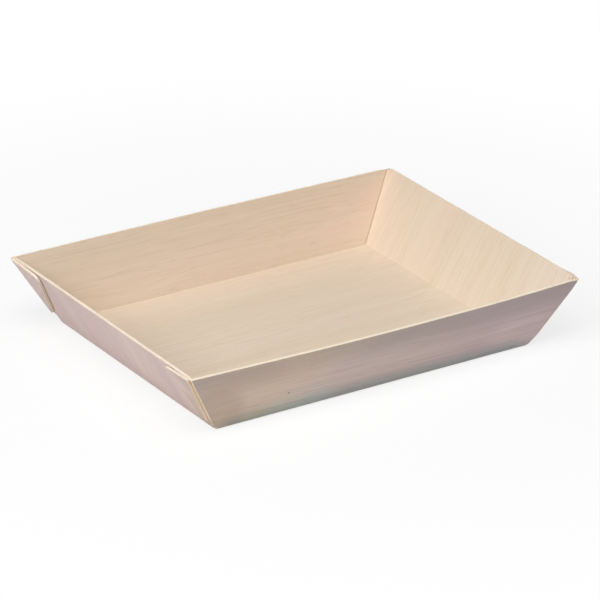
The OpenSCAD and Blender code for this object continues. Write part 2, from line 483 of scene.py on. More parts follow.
@dataclass(frozen=True)
class VeneerFinish:
    """Bare sliced veneer, with its grain along the length of the blank.

    Some marks multiply the wood's colour and others cover it. Painted shade darkens the walls near the floor
    folds and the creases along the joints inside the corners.
    A span gives the values between which something comes in.
    """

    name: str
    pale: Tone
    deep: Tone
    blush: Tone
    pore: Tone
    shift: Place
    # Marks that multiply the colour; on the outer face one of them is painted shade
    tint_marks: tuple[Mark, ...] = ()
    marks: tuple[Mark, ...] = ()
    # Painted shade near the floor folds: its tone, how far up the walls it reaches and where it fades at
    # their ends
    painted_foot_shade: Optional[Tone] = None
    painted_foot_shade_span: Span = (8.0, 0.5)
    painted_foot_shade_end: Span = (4.0, -10.0)
    # Painted shade in the creases along the joints inside the corners: its tone, its width, where it starts
    # and the joint's slope
    painted_corner_shade: Optional[Tone] = None
    painted_corner_shade_span: Span = (1.0, 0.3)
    painted_corner_shade_start: Span = (0.0, 0.6)
    joint_rate: float = 0.0
    floor_half: Span = (0.0, 0.0)
    band: Speckle = Speckle(240.0, 12.0)
    band_share: float = 0.42
    streak: Speckle = Speckle(75.0, 1.6, detail=3.0, harshness=0.6)
    streak_share: float = 0.36
    fibre: Speckle = Speckle(18.0, 0.5)
    fibre_share: float = 0.22
    tone_span: Span = (0.36, 0.64)
    cloud: Speckle = Speckle(150.0, 22.0)
    cloud_span: Span = (0.42, 0.66)
    blush_strength: float = 0.55
    hair: Speckle = Speckle(55.0, 0.7, detail=0.0)
    hair_span: Span = (0.60, 0.74)
    hair_strength: float = 0.3
    dash: Speckle = Speckle(8.0, 0.4, detail=0.0)
    dash_span: Span = (0.68, 0.8)
    dash_strength: float = 0.4
    wander: Speckle = Speckle(110.0, 40.0, detail=1.0)
    wander_reach: float = 7.0
    relief_depth: float = 0.05
    relief_strength: float = 0.6
    roughness: float = 0.56
    roughness_reach: float = 0.2
    shine: float = 0.3

    def on_blank(self, sizes: BlankSizes) -> "VeneerFinish":
        """The same finish, with its painted shade placed at the floor folds and the corner joints of a
        blank.
        """
        half = (sizes.floor_l / 2, sizes.floor_w / 2)
        return replace(self, floor_half=half, joint_rate=sizes.side_fold_rate)

    def make(self) -> bpy.types.Material:
        """Builds the material.

        Returns:
            The material, which reads the place in the blank.
        """
        material, bench = new_material(self.name)
        flat = bench.blank_place()
        place = bench.vector("ADD", flat, self.shift)
        drift = (bench.speckle(place, self.wander) - NOISE_MIDDLE) * self.wander_reach
        sideways = bench.node("ShaderNodeCombineXYZ", {}, {"Y": drift, "Z": drift})
        grain = bench.vector("ADD", place, sideways)
        streaks = bench.speckle(grain, self.streak)
        fibres = bench.speckle(grain, self.fibre)
        hairs = bench.ramp(bench.speckle(grain, self.hair), *self.hair_span) * self.hair_strength
        dashes = bench.ramp(bench.speckle(grain, self.dash), *self.dash_span) * self.dash_strength
        pores = hairs.larger(dashes)
        lightness = bench.speckle(grain, self.band) * self.band_share
        lightness = lightness + streaks * self.streak_share + fibres * self.fibre_share
        colour = bench.blend(bench.ramp(lightness, *self.tone_span), self.deep, self.pale)
        clouds = bench.ramp(bench.speckle(place, self.cloud), *self.cloud_span)
        colour = bench.blend(clouds * self.blush_strength, colour, self.blush)
        colour = self._marked(bench, flat, colour, self.tint_marks, Mixing.STAIN)
        colour = bench.blend(pores, colour, self.pore)
        colour = self._marked(bench, flat, colour, self.marks, Mixing.COVER)
        colour = self._painted_shade(bench, flat, colour)
        relief = streaks * self.streak_share + fibres - pores
        bench.surface({"Specular IOR Level": self.shine}, {
            "Base Color": colour,
            "Roughness": self.roughness + fibres * self.roughness_reach,
            "Normal": bench.bump(relief, self.relief_depth, self.relief_strength),
        })
        return material

    @staticmethod
    def _marked(bench: ShaderBench, flat: Wire, colour: Wire, marks: Sequence[Mark], mixing: Mixing) -> Wire:
        """Tints or covers the wood at some marks.

        Args:
            bench: The material's bench.
            flat: The place in the blank.
            colour: The wood's colour so far.
            marks: The marks.
            mixing: How they are laid over the wood.

        Returns:
            The tinted colour.
        """
        for mark in marks:
            drawn_in = bench.vector("MULTIPLY", flat, (1 / mark.stretch, 1.0, 0.0))
            away = bench.distance(drawn_in, (mark.x / mark.stretch, mark.y, 0.0))
            spot = bench.ramp(away, mark.radius, mark.radius * mark.core_share) * mark.strength
            colour = bench.blend(spot, colour, mark.tone, mixing)
        return colour

    def _painted_shade(self, bench: ShaderBench, flat: Wire, colour: Wire) -> Wire:
        """Paints shade on the walls near the floor folds and in the creases along the joints inside the
        corners.

        Args:
            bench: The material's bench.
            flat: The place in the blank.
            colour: The wood's colour so far.

        Returns:
            The darkened colour.
        """
        if not (self.painted_foot_shade or self.painted_corner_shade):
            return colour
        past_folds = bench.vector("SUBTRACT", bench.unsigned(flat), (*self.floor_half, 0.0))
        x = bench.node("ShaderNodeSeparateXYZ", {}, {"Vector": past_folds}, "X")
        y = x.sibling("Y")
        # Painted shade along the foot of the walls
        if self.painted_foot_shade:
            darker_part = bench.ramp(y.magnitude(), *self.painted_foot_shade_span) * bench.ramp(x, *self.painted_foot_shade_end)
            colour = bench.blend(darker_part, colour, self.painted_foot_shade, Mixing.STAIN)
        # Painted shade in the creases along the joints inside the corners
        if self.painted_corner_shade:
            aside = (x - y * self.joint_rate).magnitude()
            shade = bench.ramp(aside, *self.painted_corner_shade_span) * bench.ramp(y, *self.painted_corner_shade_start)
            colour = bench.blend(shade, colour, self.painted_corner_shade, Mixing.STAIN)
        return colour


@dataclass(frozen=True)
class PaperFinish:
    """Paper with short fibres: pale where cut, tan in the open corner folds, brown where a fold rubs."""

    name: str
    pale: Tone
    deep: Tone
    cut: Tone
    rubbed: Tone
    fold_foot: Place = (0.0, 0.0, 0.0)
    fold_run: Place = (0.0, 0.0, 1.0)
    rub_place: Place = (0.0, 0.0, 0.0)
    rub_drop: float = 2.1
    fold_span: Span = (1.6, 1.0)
    rub_span: Span = (1.4, 0.5)
    rub_strength: float = 0.8
    fibre: Speckle = Speckle(0.7, 0.35, detail=3.0, harshness=0.65)
    fibre_share: float = 0.6
    mottle: Speckle = Speckle(3.0, 3.0)
    mottle_share: float = 0.4
    tone_span: Span = (0.32, 0.68)
    relief_depth: float = 0.03
    relief_strength: float = 0.6
    roughness: float = 0.74
    roughness_reach: float = 0.2
    shine: float = 0.25

    def on_blank(self, sizes: BlankSizes) -> "PaperFinish":
        """Sets the places of the open corner folds, and of the spots below the rim where they rub.

        Args:
            sizes: Sizes of the blank.

        Returns:
            The same finish, with its places.
        """
        foot = sizes.on_corner_fold(sizes.fold_foot)
        rub = sizes.on_corner_fold(sizes.tray_h - self.rub_drop)
        run = (rub - foot).normalized()
        return replace(self, fold_foot=tuple(foot), fold_run=tuple(run), rub_place=tuple(rub))

    def make(self) -> bpy.types.Material:
        """Builds the material.

        Returns:
            The material, which reads the place in the tray.
        """
        material, bench = new_material(self.name)
        place = bench.tray_place()
        quarter = bench.unsigned(place)
        fibres = bench.speckle(place, self.fibre)
        mottles = bench.speckle(place, self.mottle)
        tone = bench.ramp(fibres * self.fibre_share + mottles * self.mottle_share, *self.tone_span)
        fold = bench.ramp(bench.line_distance(quarter, self.fold_foot, self.fold_run), *self.fold_span)
        rub = bench.ramp(bench.distance(quarter, self.rub_place), *self.rub_span) * self.rub_strength
        colour = bench.blend(tone, self.deep, self.pale)
        colour = bench.blend(fold, self.cut, colour)
        colour = bench.blend(rub, colour, self.rubbed)
        bench.surface({"Specular IOR Level": self.shine}, {
            "Base Color": colour,
            "Roughness": self.roughness + fibres * self.roughness_reach,
            "Normal": bench.bump(fibres, self.relief_depth, self.relief_strength),
        })
        return material


@dataclass(frozen=True)
class GlueFinish:
    """Dried wood glue: a thin, slightly glossy, clouded film."""

    name: str
    clear: Tone
    milky: Tone
    cloud: Speckle = Speckle(2.2, 2.2, detail=3.0, harshness=0.6)
    cloud_span: Span = (0.35, 0.65)
    relief_depth: float = 0.03
    relief_strength: float = 0.5
    roughness: float = 0.3
    roughness_reach: float = 0.25

    def make(self) -> bpy.types.Material:
        """Builds the material.

        Returns:
            The material, which reads the place in the tray.
        """
        material, bench = new_material(self.name)
        clouds = bench.speckle(bench.tray_place(), self.cloud)
        bench.surface({}, {
            "Base Color": bench.blend(bench.ramp(clouds, *self.cloud_span), self.clear, self.milky),
            "Roughness": self.roughness + clouds * self.roughness_reach,
            "Normal": bench.bump(clouds, self.relief_depth, self.relief_strength),
        })
        return material


def sides_of(outline: Sequence[Vector]) -> list[tuple[Vector, Vector]]:
    """Start and end of each side of an outline, the first from its first corner to its second."""
    return list(zip(outline, [*outline[1:], outline[0]]))


def side_axes(start: Vector, end: Vector) -> tuple[Vector, Vector]:
    """Directions along a side of an anticlockwise outline, and square out of it."""
    along = (end - start).normalized()
    return along, Vector((along.y, -along.x, 0))


def grown(outline: Sequence[Vector], rates: Sequence[float], depth: float) -> list[Vector]:
    """Moves each side of an outline outwards by its own rate times a depth.

    Args:
        outline: Corners, anticlockwise.
        rates: One rate for each side.
        depth: The depth into the sheet.

    Returns:
        The moved corners.
    """
    lines = []
    for (start, end), rate in zip(sides_of(outline), rates):
        shift = side_axes(start, end)[1] * rate * depth
        lines.append((start + shift, end + shift))
    pairs = zip([lines[-1], *lines[:-1]], lines)
    return [geometry.intersect_line_line(*before, *after)[0] for before, after in pairs]


def round_edges(
    bm: bmesh.types.BMesh, edges: Sequence[bmesh.types.BMEdge], reach: float, steps: int
) -> None:
    """Rounds some edges of a mesh.

    Args:
        bm: The mesh.
        edges: The edges.
        reach: How far the rounding starts from each edge.
        steps: How many flats make up the round.
    """
    bmesh.ops.bevel(
        bm, geom=list(edges), offset=reach, offset_type="OFFSET", segments=steps,
        profile=0.5, affect="EDGES", material=-1,
    )


def cut_across(bm: bmesh.types.BMesh, axis: Vector, low: float, high: float, step: float) -> None:
    """Cuts a mesh by evenly spaced planes.

    Args:
        bm: The mesh.
        axis: The direction that the planes face.
        low: Where the first stretch starts along it.
        high: Where the last stretch ends.
        step: About how long each stretch is.
    """
    count = round((high - low) / step)
    for index in range(1, count):
        place = axis * (low + (high - low) * index / count)
        parts = [*bm.verts, *bm.edges, *bm.faces]
        bmesh.ops.bisect_plane(bm, geom=parts, dist=SAME_PLACE, plane_co=place, plane_no=axis)


@dataclass
class Sheet:
    """One flat layer of a panel, as it lies in the blank.

    A side with a rate runs outwards with depth, or inwards where the rate is negative, because it lies
    against its neighbour. The open depth is that of the face that shows.
    """

    outline: list[Vector]
    rates: list[float]
    low: float
    high: float
    open_depth: float
    rounds: dict[int, float] = field(default_factory=dict)
    lips: dict[int, float] = field(default_factory=dict)
    plain_sides: tuple[int, ...] = ()
    column: float = 1.6
    row: float = 3.0
    soft: float = 0.18
    crease: float = 0.04
    soft_steps: int = 4
    crease_steps: int = 2
    round_steps: int = 8
    sharp_angle: float = math.radians(40)
    flat_enough: float = 0.99
    nick: float = 0.035
    nick_length: float = 3.2
    nick_lean: float = 0.3
    nick_reach_share: float = 1.5
    seed: float = 0.0

    def build(self) -> bmesh.types.BMesh:
        """Makes the closed sheet, with softened edges and a grid fine enough to warp.

        Returns:
            The flat mesh, with its low face at the low depth.
        """
        bm = bmesh.new()
        near = grown(self.outline, self.rates, self.low)
        far = grown(self.outline, self.rates, self.high)
        face = bm.faces.new([bm.verts.new((p.x, p.y, self.low)) for p in near])
        raised = bmesh.ops.extrude_face_region(bm, geom=[face])["geom"]
        for vert in (item for item in raised if isinstance(item, bmesh.types.BMVert)):
            index = min(range(len(near)), key=lambda i: (near[i] - vert.co.to_2d().to_3d()).length)
            vert.co = (far[index].x, far[index].y, self.high)
        for index, radius in self.rounds.items():
            self._round_corner(bm, index, radius)
        bmesh.ops.recalc_face_normals(bm, faces=bm.faces[:])
        self._soften(bm)
        self._cut_grid(bm)
        self._mark_cut_sides(bm)
        self._nick_cut_sides(bm)
        return bm

    def _round_corner(self, bm: bmesh.types.BMesh, index: int, radius: float) -> None:
        """Rounds one corner of the outline.

        Args:
            bm: The sheet.
            index: The corner's number in the outline.
            radius: The radius of its arc.
        """
        corner = self.outline[index]
        before = self.outline[index - 1] - corner
        after = self.outline[(index + 1) % len(self.outline)] - corner
        reach = radius / math.tan(before.angle(after) / 2)

        def at_corner(vert: bmesh.types.BMVert) -> bool:
            """Whether a vertex stands over the corner."""
            return (vert.co.to_2d().to_3d() - corner).length < self.soft

        upright = [edge for edge in bm.edges if all(at_corner(vert) for vert in edge.verts)]
        round_edges(bm, upright, reach, self.round_steps)

    def _soften(self, bm: bmesh.types.BMesh) -> None:
        """Rounds the open edges, each lip by its own radius, and eases every edge that is left sharp.

        Args:
            bm: The sheet.
        """

        def is_open(edge: bmesh.types.BMEdge) -> bool:
            """Whether an edge bounds the face that shows."""
            return all(abs(vert.co.z - self.open_depth) < SAME_PLACE for vert in edge.verts)

        pressed = {side for side, rate in enumerate(self.rates) if rate}
        by_reach: dict[float, list[bmesh.types.BMEdge]] = {}
        for edge in filter(is_open, bm.edges):
            side = self._side_of(edge)
            reach = self.crease if side in pressed else self.lips.get(side, self.soft)
            by_reach.setdefault(reach, []).append(edge)
        for reach in sorted(by_reach, reverse=True):
            round_edges(bm, [e for e in by_reach[reach] if e.is_valid], reach, self.soft_steps)
        sharp = [edge for edge in bm.edges if edge.calc_face_angle(0) > self.sharp_angle]
        round_edges(bm, sharp, self.crease, self.crease_steps)

    def _side_of(self, edge: bmesh.types.BMEdge) -> Optional[int]:
        """Finds the side that an edge of the open face lies on.

        Args:
            edge: The edge.

        Returns:
            The side's number, or None on a round corner.
        """
        corners = grown(self.outline, self.rates, self.open_depth)
        for number, side in enumerate(sides_of(corners)):
            if self._lie_along(edge.verts, side, SAME_PLACE):
                return number
        return None

    @staticmethod
    def _lie_along(verts: Sequence[bmesh.types.BMVert], side: tuple[Vector, Vector], slack: float) -> bool:
        """Whether some vertices all stand over a side, within some slack."""
        outwards = side_axes(*side)[1]
        return all(abs((vert.co - side[0]).dot(outwards)) < slack for vert in verts)

    def _cut_grid(self, bm: bmesh.types.BMesh) -> None:
        """Cuts the sheet into columns and rows.

        Args:
            bm: The sheet.
        """
        for axis, step in ((Vector((1, 0, 0)), self.column), (Vector((0, 1, 0)), self.row)):
            reaches = [vert.co.dot(axis) for vert in bm.verts]
            cut_across(bm, axis, min(reaches), max(reaches), step)

    def _mark_cut_sides(self, bm: bmesh.types.BMesh) -> None:
        """Sets off the broad faces, and gives the cut sides that aren't plain the second finish.

        Args:
            bm: The sheet.
        """
        bm.normal_update()
        sides = sides_of(self.outline)
        plain = [sides[number] for number in self.plain_sides]
        broad = {face for face in bm.faces if abs(face.normal.z) > self.flat_enough}
        for face in bm.faces:
            darker_part = any(self._lie_along(face.verts, side, self.soft) for side in plain)
            face.material_index = 0 if face in broad or darker_part else 1
        for edge in bm.edges:
            edge.smooth = len({face in broad for face in edge.link_faces}) == 1

    def _nick_cut_sides(self, bm: bmesh.types.BMesh) -> None:
        """Roughens the sides that a cutter left, but not those that lie against a neighbour.

        Args:
            bm: The sheet.
        """
        for number, (side, rate) in enumerate(zip(sides_of(self.outline), self.rates)):
            if rate:
                continue
            along, outwards = side_axes(*side)
            for vert in bm.verts:
                offset = vert.co - side[0]
                if abs(offset.dot(outwards)) > self.soft * self.nick_reach_share:
                    continue
                run, depth = offset.dot(along) / self.nick_length, vert.co.z / self.nick_length
                wave = noise.noise(Vector((run, depth, self.seed + number)))
                vert.co += outwards * (wave - self.nick_lean) * self.nick


@dataclass(frozen=True)
class Splinter:
    """A fibre that the cutter lifted at a rim."""

    along: float
    length: float
    lean: float
    layer: Layer = Layer.LINER
    root: float = 0.4
    thickness: float = 0.1
    tip_share: float = 0.25
    sides: int = 5

    def grow(self, bm: bmesh.types.BMesh, rim: float, depth: float) -> None:
        """Adds the fibre to a wall that still lies flat.

        Args:
            bm: The wall's layer.
            rim: Height of its rim.
            depth: Depth at which the fibre is rooted.
        """
        turned = Matrix.Rotation(self.lean, 4, "Z") @ Matrix.Rotation(-UPRIGHT, 4, "X")
        rooted = Matrix.Translation((self.along, rim - self.root, depth)) @ turned
        made = bmesh.ops.create_cone(
            bm, cap_ends=True, segments=self.sides, radius1=self.thickness,
            radius2=self.thickness * self.tip_share, depth=self.length,
            matrix=rooted @ Matrix.Translation((0, 0, self.length / 2)),
        )
        for face in {face for vert in made["verts"] for face in vert.link_faces}:
            face.material_index = 1


@dataclass(frozen=True)
class Dent:
    """A corner of the rim that was pressed a little out of shape."""

    corner: Corner
    push: Place
    reach: Place

    def moved(self, point: Vector) -> Vector:
        """Moves a point of the tray with the dent.

        Args:
            point: The point.

        Returns:
            The moved point.
        """
        high = Vector(CAD_BOX[1]) / MILLIMETRE
        right, back = self.corner.value
        away = point - Vector((high.x * right, high.y * back, high.z))
        share = Vector([offset / reach for offset, reach in zip(away, self.reach)]).length
        return point + Vector(self.push) * max(0.0, 1 - share)


def add_object(name: str, data: bpy.types.ID) -> bpy.types.Object:
    """Adds an object to the scene.

    Args:
        name: Its name.
        data: Its mesh, camera or lamp.

    Returns:
        The object.
    """
    made = bpy.data.objects.new(name, data)
    bpy.context.scene.collection.objects.link(made)
    return made


def add_mesh(bm: bmesh.types.BMesh, name: str, finishes: Sequence[bpy.types.Material]) -> bpy.types.Object:
    """Adds a mesh to the scene.

    Args:
        bm: The mesh in metres, which is freed.
        name: The object's name.
        finishes: Its materials, in the order of the faces' numbers.

    Returns:
        The object.
    """
    mesh = bpy.data.meshes.new(name)
    bm.to_mesh(mesh)
    bm.free()
    for finish in finishes:
        mesh.materials.append(finish)
    return add_object(name, mesh)


def finish_piece(
    bm: bmesh.types.BMesh,
    name: str,
    finishes: Sequence[bpy.types.Material],
    node: str,
) -> bpy.types.Object:
    """Turns a mesh in millimetres into a piece of the tray.

    Args:
        bm: The mesh, which is freed.
        name: The piece's name.
        finishes: Its materials, in the order of the faces' numbers.
        node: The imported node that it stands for.

    Returns:
        The piece, riding on the tray's body.
    """
    for vert in bm.verts:
        for dent in DENTS:
            vert.co = dent.moved(vert.co)
    bmesh.ops.scale(bm, vec=(MILLIMETRE,) * 3, verts=bm.verts[:])
    bmesh.ops.recalc_face_normals(bm, faces=bm.faces[:])
    for face in bm.faces:
        face.smooth = True
    for edge in bm.edges:
        edge.smooth = edge.smooth and edge.calc_face_angle(0) < SMOOTH_ANGLE
    piece = add_mesh(bm, name, finishes)
    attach(piece, BODY)
    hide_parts(node)
    LOG.info("%s: %d faces, for %s", name, len(piece.data.polygons), node)
    return piece


@dataclass
class Panel:
    """A flat panel of the blank, with its two veneers.

    The X of a wall or flap runs along the floor fold, its Y up the slope, and its depth outwards from its
    face inside the tray. Each layer has a finish for its broad faces and one for its cut sides.
    """

    sizes: BlankSizes
    name: str
    nodes: dict[Layer, str]
    finishes: dict[Layer, tuple[bpy.types.Material, bpy.types.Material]]
    seed: float = 0.0

    def outline(self) -> list[Vector]:
        """Corners of the panel's inner face, anticlockwise."""
        raise NotImplementedError

    def turns(self) -> list[float]:
        """Angle of the fold along each side, or 0 where the side is cut."""
        raise NotImplementedError

    def stand(self) -> Matrix:
        """Turns the flat panel up to its place in the tray."""
        raise NotImplementedError

    def unfold(self, x: float, y: float) -> Span:
        """Place in the flat blank of a point on the panel."""
        raise NotImplementedError

    def rates(self, layer: Layer) -> list[float]:
        """How fast each side of a layer runs outwards with depth: mitred at folds inside, else square."""
        return [math.tan(turn / 2) if layer is Layer.LINER else 0.0 for turn in self.turns()]

    def rounds(self) -> dict[int, float]:
        """Radii of the rounded corners, by their number."""
        return {}

    def lips(self, layer: Layer) -> dict[int, float]:
        """Radii of a layer's edges that differ from the usual one, by the number of the side."""
        return {}

    def plain_sides(self) -> tuple[int, ...]:
        """Numbers of the cut sides that have darkened like the broad faces."""
        return ()

    def back_step(self) -> float:
        """How far the panel's inner face lies behind its frame."""
        return 0.0

    def warp(self, x: float, y: float) -> float:
        """How far the panel bends outwards at a point."""
        return 0.0

    def roughen(self, bm: bmesh.types.BMesh, layer: Layer) -> None:
        """Adds what the cutter left on a layer, while it still lies flat."""

    def reaches(self, flat: Vector) -> bool:
        """Whether a flat point lies above the panel's foot and between its ends."""
        xs, ys, _ = zip(*self.outline())
        return min(ys) <= flat.y and min(xs) <= flat.x <= max(xs)

    def sheet(self, layer: Layer) -> Sheet:
        """Lays out one layer.

        Args:
            layer: The layer.

        Returns:
            The flat sheet.
        """
        low, high = self.sizes.depths(layer)
        return Sheet(
            self.outline(), self.rates(layer), low, high,
            open_depth=low if layer is Layer.LINER else high, rounds=self.rounds(), lips=self.lips(layer),
            plain_sides=self.plain_sides(), seed=self.seed + low,
        )

    def build(self, layer: Layer) -> bpy.types.Object:
        """Models one layer, folds it up and dresses it.

        Args:
            layer: The layer.

        Returns:
            The finished piece.
        """
        bm = self.sheet(layer).build()
        self.roughen(bm, layer)
        lay_out = bm.verts.layers.float_vector.new(BLANK_PLACE)
        for vert in bm.verts:
            x, y, depth = vert.co
            vert[lay_out] = (*self.unfold(x, y), depth)
            vert.co.z = depth + self.back_step() + self.warp(x, y)
        bmesh.ops.transform(bm, matrix=self.stand(), verts=bm.verts[:])
        name = f"{self.name}_{layer.value}_sheet"
        return finish_piece(bm, name, self.finishes[layer], self.nodes[layer])


@dataclass
class FloorPanel(Panel):
    """The floor, between its four folds."""

    def outline(self) -> list[Vector]:
        """Corners of the floor."""
        half_l, half_w = self.sizes.floor_l / 2, self.sizes.floor_w / 2
        return [Vector((half_l * x, half_w * y, 0)) for x, y in ((-1, -1), (1, -1), (1, 1), (-1, 1))]

    def turns(self) -> list[float]:
        """The folds to the front, right, back and left walls."""
        return [self.sizes.side_turn, self.sizes.end_turn] * 2

    def stand(self) -> Matrix:
        """Depth runs down from the floor's upper face."""
        return Matrix.Translation((0, 0, self.sizes.sheet)) @ Matrix.Scale(-1, 4, (0, 0, 1))

    def unfold(self, x: float, y: float) -> Span:
        """The floor lies in the blank as it is."""
        return x, y

    def plain_sides(self) -> tuple[int, ...]:
        """All four edges, which rub on the table."""
        return 0, 1, 2, 3


@dataclass
class LongWall(Panel):
    """A long wall, between the floor fold and its two corner folds."""

    wall: Wall = Wall.FRONT
    bow: float = 0.0
    bow_lean: float = 0.35
    bow_curl: float = 2.2
    ripple: float = 0.24
    ripple_length: float = 55.0
    lip: float = 0.3
    relief: float = 0.04
    splinters: tuple[Splinter, ...] = ()

    def outline(self) -> list[Vector]:
        """Lays out the floor fold, the cut-back lower corners and the rim.

        Returns:
            The corners, from the left end of the floor fold.
        """
        sizes = self.sizes
        half, foot, top = sizes.floor_l / 2, sizes.side_foot, sizes.side_slant
        right = [(half, 0), (sizes.side_fold(foot), foot), (sizes.side_fold(top), top)]
        left = [(-x, y) for x, y in reversed(right)]
        return [Vector((x, y, 0)) for x, y in [left[-1], *right, *left[:-1]]]

    def turns(self) -> list[float]:
        """The floor fold and the two corner folds, with cut sides between."""
        return [self.sizes.side_turn, 0.0, self.sizes.corner_turn, 0.0, self.sizes.corner_turn, 0.0]

    def stand(self) -> Matrix:
        """Leans the wall out from the floor fold.

        Returns:
            The matrix from the flat wall to the tray.
        """
        turned = Matrix.Rotation(UPRIGHT + self.sizes.side_flare, 4, "X")
        front = Matrix.Translation((0, -self.sizes.floor_w / 2, self.sizes.sheet)) @ turned
        return front if self.wall is Wall.FRONT else Matrix.Scale(-1, 4, (0, 1, 0)) @ front

    def unfold(self, x: float, y: float) -> Span:
        """Lays the wall down beside the floor."""
        return x, self.wall.value[1] * (self.sizes.floor_w / 2 + y)

    def lips(self, layer: Layer) -> dict[int, float]:
        """The outer veneer has a lip at both corner folds, and sharp cut-back lower corners."""
        outer = {1: self.relief, 2: self.lip, 4: self.lip, 5: self.relief}
        return outer if layer is Layer.VENEER else {}

    def plain_sides(self) -> tuple[int, ...]:
        """The edge at the floor fold and the cut-back lower corners."""
        return 0, 1, 5

    def warp(self, x: float, y: float) -> float:
        """A bow that grows towards the rim and a faint ripple, both nothing at the folds.

        Args:
            x: Place along the wall.
            y: Height up its slope.

        Returns:
            How far the wall bends outwards there.
        """
        share = max(-1.0, min(1.0, x / self.sizes.side_fold(y)))
        rise = max(0.0, y / self.sizes.side_slant)
        wave = noise.noise(Vector((x / self.ripple_length, y / self.ripple_length, self.seed)))
        bowed = self.bow * (1 + self.bow_lean * share) * rise ** self.bow_curl
        return (1 - share * share) * (bowed + self.ripple * wave * rise)

    def roughen(self, bm: bmesh.types.BMesh, layer: Layer) -> None:
        """Lifts the loose fibres of a layer at its rim.

        Args:
            bm: The layer.
            layer: Which layer it is.
        """
        depth = sum(self.sizes.depths(layer)) / 2
        for splinter in self.splinters:
            if splinter.layer is layer:
                splinter.grow(bm, self.sizes.side_slant, depth)


def end_frame(sizes: BlankSizes, left: bool, front: bool = False) -> Matrix:
    """Frame of an end wall, or its mirror image.

    Args:
        sizes: Sizes of the blank.
        left: Whether it stands at the left end.
        front: Whether the frame is mirrored for a front corner.

    Returns:
        The matrix from the flat panel to the tray.
    """
    leaning = Matrix.Rotation(UPRIGHT, 4, "Z") @ Matrix.Rotation(UPRIGHT + sizes.end_flare, 4, "X")
    matrix = Matrix.Translation((sizes.floor_l / 2, 0, sizes.sheet)) @ leaning
    if left:
        matrix = Matrix.Scale(-1, 4, (1, 0, 0)) @ matrix
    if front:
        matrix = Matrix.Scale(-1, 4, (0, 1, 0)) @ matrix
    return matrix


@dataclass
class EndWall(Panel):
    """An end wall, above its floor fold."""

    wall: Wall = Wall.RIGHT
    ripple: float = 0.24
    ripple_length: float = 50.0
    clearance: float = 0.03

    def half_width(self, y: float) -> float:
        """Half of the wall's width, at a height up its slope."""
        return self.sizes.floor_w / 2 - self.clearance + y * self.sizes.end_fold_rate

    def outline(self) -> list[Vector]:
        """Lays out the floor fold, the sides along the long walls and the rim.

        Returns:
            The corners, from the start of the floor fold.
        """
        top = self.sizes.end_slant
        foot_half, rim_half = self.half_width(0.0), self.half_width(top)
        corners = [(-foot_half, 0), (foot_half, 0), (rim_half, top), (-rim_half, top)]
        return [Vector((x, y, 0)) for x, y in corners]

    def turns(self) -> list[float]:
        """The floor fold and three cut sides."""
        return [self.sizes.end_turn, 0.0, 0.0, 0.0]

    def rates(self, layer: Layer) -> list[float]:
        """As for any panel, but both sides lean in along the long walls.

        Args:
            layer: The layer.

        Returns:
            One rate for each side.
        """
        floor_side, _, rim_side, _ = super().rates(layer)
        lean = -math.sin(self.sizes.end_flare) * math.tan(self.sizes.side_flare)
        lean *= math.cos(math.atan(self.sizes.end_fold_rate))
        return [floor_side, lean, rim_side, lean]

    def stand(self) -> Matrix:
        """Leans the wall out from the floor fold."""
        return end_frame(self.sizes, self.wall is Wall.LEFT)

    def unfold(self, x: float, y: float) -> Span:
        """Lays the wall down beyond the end of the floor."""
        return self.wall.value[0] * (self.sizes.floor_l / 2 + y), x

    def plain_sides(self) -> tuple[int, ...]:
        """The edge at the floor fold."""
        return (0,)

    def warp(self, x: float, y: float) -> float:
        """A faint ripple, nothing at the fold and at the cut sides.

        Args:
            x: Place along the wall.
            y: Height up its slope.

        Returns:
            How far the wall bends outwards there.
        """
        share = x / self.half_width(y)
        hold = max(0.0, 1 - share * share)
        wave = noise.noise(Vector((x / self.ripple_length, y / self.ripple_length, self.seed)))
        return self.ripple * wave * hold * y / self.sizes.end_slant


